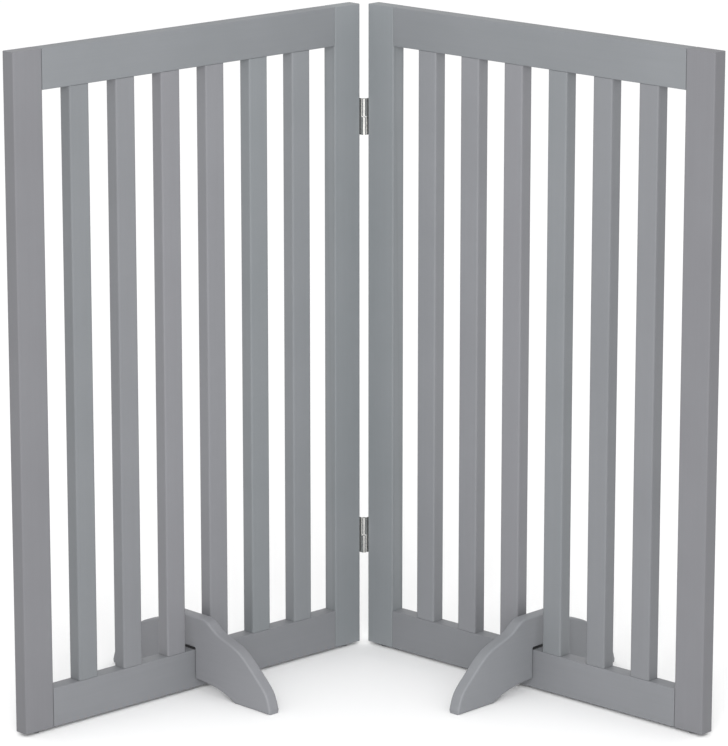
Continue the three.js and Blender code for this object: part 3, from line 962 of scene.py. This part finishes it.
def leaf_blank(extent):
    """The leaf with one edge rolled round the pin until it almost meets its own flat again. It runs
    past its final ends and back edge."""
    outer = extent.high.x
    inner = outer - LEAF_THICKNESS
    bore = PIN_RADIUS + PIN_CLEARANCE
    start = math.acos(min(1, outer / BARREL_RADIUS)) / (math.pi / 2)
    stop = math.acos((inner - CURL_GAP) / BARREL_RADIUS) / (math.pi / 2) - 4
    meet = math.acos(min(1, inner / bore)) / (math.pi / 2)
    roll = arc((0, 0), BARREL_RADIUS, start, stop, ROLL_STEPS)
    hollow = arc((0, 0), bore, stop, meet, BORE_STEPS)
    back = extent.high.y + TRIM
    half = extent.size.z / 2 + TRIM
    return from_bmesh("leaf_blank", prism([(inner, back), (outer, back), *roll, *hollow], -half, half))


def leaf_room(extent):
    """The leaf's final ends and its rounded back corners, as a block to keep the leaf within."""
    half = extent.size.z / 2
    back = extent.high.y
    reach = 2 * BARREL_RADIUS
    outline = [(-half, -reach), (half, -reach)]
    outline += arc((half - LEAF_CORNER, back - LEAF_CORNER), LEAF_CORNER, 0, 1, CORNER_STEPS)
    outline += arc((LEAF_CORNER - half, back - LEAF_CORNER), LEAF_CORNER, 1, 2, CORNER_STEPS)
    block = from_bmesh("leaf_room", prism([(y, z) for z, y in outline], -reach, reach))
    block.data.transform(LIE_ALONG_X)
    return block


def other_knuckle_room(extent):
    """What is cut from the lower half for the other leaf's knuckle."""
    reach = 3 * BARREL_RADIUS
    low = Vector((-reach, -reach, -extent.size.z))
    high = Vector((reach, BARREL_RADIUS + KNUCKLE_GAP, KNUCKLE_END_GAP / 2))
    return box_shape("other_knuckle_room", low, high)


def countersinks(extent, screw_extents, side):
    """Cutters for the screw heads, cone first and then the shank's hole."""
    cutters = []
    inner = extent.high.x - LEAF_THICKNESS
    depth = HEAD_RADIUS - SHANK_RADIUS
    clear = FIT / 2
    for screw in screw_extents:
        profile = [(0, -TRIM), (HEAD_RADIUS + clear + TRIM, -TRIM), (SHANK_RADIUS + clear, depth),
                   (SHANK_RADIUS + clear, LEAF_THICKNESS + TRIM), (0, LEAF_THICKNESS + TRIM)]
        cutter = lathe("countersink", profile)
        lie = Matrix.Rotation(math.pi / 2, 4, "Y")
        offset = side * (screw.middle.z - extent.middle.z)
        cutter.data.transform(Matrix.Translation((inner, screw.middle.y, offset)) @ lie)
        cutters.append(cutter)
    return cutters


def make_leaf(panel, side, height):
    node = f"{height}_hinge_leaf"
    extent = Extent(panel, node)
    middle = extent.middle.z
    if side < 0:
        extent.low.x, extent.high.x = -extent.high.x, -extent.low.x
    screws = [Extent(panel, f"{height}_hinge_screw_{number}") for number in PAIR]
    shape = combined("leaf", leaf_blank(extent), [leaf_room(extent)], "INTERSECT")
    cutters = [other_knuckle_room(extent), *countersinks(extent, screws, side)]
    shape = combined("leaf", shape, cutters, "DIFFERENCE")
    half_turn = Matrix() if side > 0 else Matrix.Rotation(math.pi, 4, "Y")
    place = PANEL_FRAME[panel] @ Matrix.Translation((0, 0, middle)) @ half_turn
    piece = finished(f"{panel}_{height}_hinge_plate", shape, place)
    note_surface(piece, place, "Z", LEAF_SEEDS[panel])
    give(piece, HINGE_NICKEL, f"{panel}_panel", [f"{panel}_{node}"])


def cross_outline():
    points = []
    for turn in range(4):
        angle = turn * math.pi / 2
        for x, y in ((RECESS_LENGTH / 2, -RECESS_WIDTH / 2), (RECESS_LENGTH / 2, RECESS_WIDTH / 2),
                     (RECESS_WIDTH / 2, RECESS_WIDTH / 2)):
            points.append((x * math.cos(angle) - y * math.sin(angle),
                           x * math.sin(angle) + y * math.cos(angle)))
    return points


def screw_shape():
    """A countersunk wood screw along X, with a cross recess and a thread down to its point."""
    depth = HEAD_RADIUS - SHANK_RADIUS
    profile = [(0, 0), (HEAD_RADIUS - SCREW_RIM, 0), (HEAD_RADIUS, SCREW_RIM), (SHANK_RADIUS, depth)]
    turns = int((SCREW_LENGTH - depth - THREAD_PITCH) / THREAD_PITCH)
    for turn in range(turns):
        crest = depth + (turn + 1) * THREAD_PITCH
        taper = min(1, (SCREW_LENGTH - crest) / SCREW_POINT)
        radius = SHANK_RADIUS * taper
        root = max(radius - THREAD_DEPTH, SCREW_RIM)
        profile += [(root, crest - THREAD_PITCH / 2), (radius, crest)]
    profile.append((0, SCREW_LENGTH))
    screw = lathe("screw", profile, ROD_SIDES)
    recess = from_bmesh("recess", prism(cross_outline(), -RECESS_DEPTH, RECESS_DEPTH))
    recess.data.transform(Matrix.Rotation(RECESS_TURN, 4, "Z"))
    screw = combined("screw", screw, [recess], "DIFFERENCE")
    screw.data.transform(Matrix.Rotation(math.pi / 2, 4, "Y"))
    return screw


def make_screws(panel, side):
    extents = [Extent(panel, name) for name in SCREWS]
    screw = screw_shape()
    half_turn = Matrix() if side > 0 else Matrix.Rotation(math.pi, 4, "Z")
    screw.data.transform(half_turn)
    heads = [(extent.low.x if side > 0 else extent.high.x, extent.middle.y, extent.middle.z)
             for extent in extents]
    piece = copies_of(
        screw, panel, "hinge_screw_set", heads,
        turn_axis=(1, 0, 0), most_turn=math.pi / 2, seed=SCREW_SEED + side, finish=HINGE_NICKEL,
    )
    note_surface(piece, PANEL_FRAME[panel], "X", PART_SEEDS["screw"])
    give(piece, HINGE_NICKEL, f"{panel}_panel",
         [f"{panel}_{name}" for name in SCREWS])


def make_pin(height):
    node = f"{height}_hinge_pin"
    low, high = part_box(node)
    length = high.z - low.z
    profile = [(PIN_RADIUS * out, DOME_HEIGHT * up) for out, up in DOME]
    profile += [(radius, length - height) for radius, height in reversed(profile)]
    shape = lathe("pin", profile)
    place = Matrix.Translation((HINGE_LINE.x, HINGE_LINE.y, low.z))
    piece = finished(f"{height}_pin_rod", shape, place)
    note_surface(piece, place, "Z", PART_SEEDS["pin"])
    give(piece, HINGE_NICKEL, "left_panel", [node])


# ---- Feet ----


def along_quadratic(start, control, end, steps):
    points = []
    for i in range(1, steps + 1):
        t = i / steps
        weights = ((1 - t) ** 2, 2 * t * (1 - t), t * t)
        points.append(tuple(
            sum(w * p[axis] for w, p in zip(weights, (start, control, end))) for axis in (0, 1)
        ))
    return points


def along_spline(knots, steps):
    """A smooth curve through the knots, without the first of them."""
    points = []
    for i in range(len(knots) - 1):
        before, start, end = knots[max(i - 1, 0)], knots[i], knots[i + 1]
        after = knots[min(i + 2, len(knots) - 1)]
        for j in range(1, steps + 1):
            t = j / steps
            point = []
            for axis in (0, 1):
                slope = (end[axis] - before[axis]) / 2
                next_slope = (after[axis] - start[axis]) / 2
                rise = end[axis] - start[axis]
                point.append(
                    start[axis] + slope * t + (3 * rise - 2 * slope - next_slope) * t * t
                    + (slope + next_slope - 2 * rise) * t ** 3
                )
            points.append(tuple(point))
    return points


def foot_outline(foot, strip):
    """The foot seen from the side, with its notch over 0 and its soles at height 0."""
    reach = foot.size.y / 2
    crown = foot.size.z
    notch_half = strip.size.y / 2 + FIT
    notch_top = strip.high.z + FIT
    heel = reach - FOOT_SOLE
    corner = (notch_half, notch_top)
    half = [(notch_half - NOTCH_CORNER, notch_top)]
    half += along_quadratic(half[0], corner, (notch_half, notch_top - NOTCH_CORNER), NOTCH_STEPS)
    half.append((notch_half, FOOT_ARCH))
    half += along_quadratic(half[-1], (heel * HEEL_CURVE, FOOT_ARCH), (heel, 0), ARCH_STEPS)
    half.append((reach - TOE_LEAN, 0))
    knots = [(y * reach, z * crown) for y, z in FOOT_CURVE]
    knots.append((FOOT_CROWN, crown))
    half.append(knots[0])
    half += along_spline(knots, KNOT_STEPS)
    return half + [(-y, z) for y, z in reversed(half)]


def make_foot(panel):
    foot = Extent(panel, "foot")
    strip = Extent(panel, "foot_strip")
    shape = prism(foot_outline(foot, strip), -foot.size.x / 2, foot.size.x / 2)
    round_rims(shape, FOOT_EDGE, FOOT_EDGE_STEPS)
    board = from_bmesh("foot", shape)
    place = PANEL_FRAME[panel] @ Matrix.Translation((foot.middle.x, foot.middle.y, foot.low.z))
    board.data.transform(LIE_ALONG_X)
    piece = finished(f"{panel}_foot_board", board, place)
    # Painted light: the foot's paint a little lighter.
    note_surface(piece, place, "Y", FOOT_SEEDS[panel], FOOT_TONE)
    give(piece, PAINT, f"{panel}_foot", [f"{panel}_foot"])


def make_strip(panel):
    """The rubber in the top of the notch, ribbed where it sits on the rail."""
    extent = Extent(panel, "foot_strip")
    half, height = extent.size.y / 2, extent.size.z
    outline = [(half, height - NOTCH_CORNER)]
    outline += along_quadratic(outline[0], (half, height), (half - NOTCH_CORNER, height), NOTCH_STEPS)
    outline += [(-y, z) for y, z in reversed(outline)]
    steps = STEPS_PER_RIB * STRIP_RIBS
    for i in range(steps + 1):
        share = i / steps
        dip = (1 - math.cos(2 * math.pi * STRIP_RIBS * share)) / 2
        outline.append((half * (2 * share - 1), STRIP_RIB_DEPTH * (1 - dip)))
    shape = prism(outline, -extent.size.x / 2, extent.size.x / 2)
    board = from_bmesh("strip", shape)
    board.data.transform(LIE_ALONG_X)
    stand = Matrix.Translation((extent.middle.x, extent.middle.y, extent.low.z))
    place = PANEL_FRAME[panel] @ stand
    piece = finished(f"{panel}_rubber_strip", board, place)
    note_surface(piece, place, "X", PART_SEEDS["strip"])
    give(piece, STRIP_RUBBER, f"{panel}_foot", [f"{panel}_foot_strip"])


# ---- Studio ----

CAMERA_PLACE = (0, -5.451, 1.766)
CAMERA_PITCH = 76.38  # degrees from straight down
CAMERA_LENS = 200.2
FLOOR_SIZE = 60
GATE_MIDDLE = (0, 0, 0.42)
SOFTBOX_SIZE = 1.6
FRONT_PLACE = (-0.25, -4.6, 2.4)
FRONT_POWER = 122  # watts
FILL_PLACE = (0.9, -4.6, 1.6)
FILL_POWER = 26
SKY_STRENGTH = 1.06


def make_camera():
    data = bpy.data.cameras.new("camera")
    data.lens = CAMERA_LENS
    data.sensor_width = 36
    data.clip_end = 200
    camera = bpy.data.objects.new("camera", data)
    camera.location = CAMERA_PLACE
    camera.rotation_euler = (math.radians(CAMERA_PITCH), 0, 0)
    bpy.context.scene.collection.objects.link(camera)
    bpy.context.scene.camera = camera


def make_floor():
    shape = bmesh.new()
    bmesh.ops.create_grid(shape, x_segments=4, y_segments=4, size=FLOOR_SIZE / 2)
    floor = from_bmesh("studio_floor", shape)
    material, _, shader = new_material("studio_floor")
    shader.inputs["Base Color"].default_value = FLOOR_WHITE
    shader.inputs["Roughness"].default_value = 0.9
    floor.data.materials.append(material)


def make_light(name, place, power):
    """A square soft light, aimed at the middle of the gate."""
    data = bpy.data.lights.new(name, "AREA")
    data.size = SOFTBOX_SIZE
    data.energy = power
    light = bpy.data.objects.new(name, data)
    light.location = place
    aim = Vector(GATE_MIDDLE) - Vector(place)
    light.rotation_euler = aim.to_track_quat("-Z", "Y").to_euler()
    bpy.context.scene.collection.objects.link(light)


def make_studio():
    make_floor()
    world = bpy.data.worlds.new("studio")
    world.use_nodes = True
    background = world.node_tree.nodes["Background"]
    background.inputs["Color"].default_value = (1, 1, 1, 1)
    background.inputs["Strength"].default_value = SKY_STRENGTH
    bpy.context.scene.world = world
    bpy.context.scene.view_settings.view_transform = "Standard"
    make_light("front_softbox", FRONT_PLACE, FRONT_POWER)
    make_light("fill_softbox", FILL_PLACE, FILL_POWER)


# ---- The gate ----

make_camera()
make_studio()
for panel_name, side_sign in SIDES.items():
    for stile_end in ("inner", "outer"):
        make_stile(panel_name, stile_end)
    for rail_height in ("bottom", "top"):
        make_rail(panel_name, rail_height)
    make_slats(panel_name, side_sign)
    make_dowels(panel_name, side_sign)
    make_glides(panel_name, side_sign)
    for hinge_height in HEIGHTS:
        make_leaf(panel_name, side_sign, hinge_height)
    make_screws(panel_name, side_sign)
    make_foot(panel_name)
    make_strip(panel_name)
for hinge_height in HEIGHTS:
    make_pin(hinge_height)
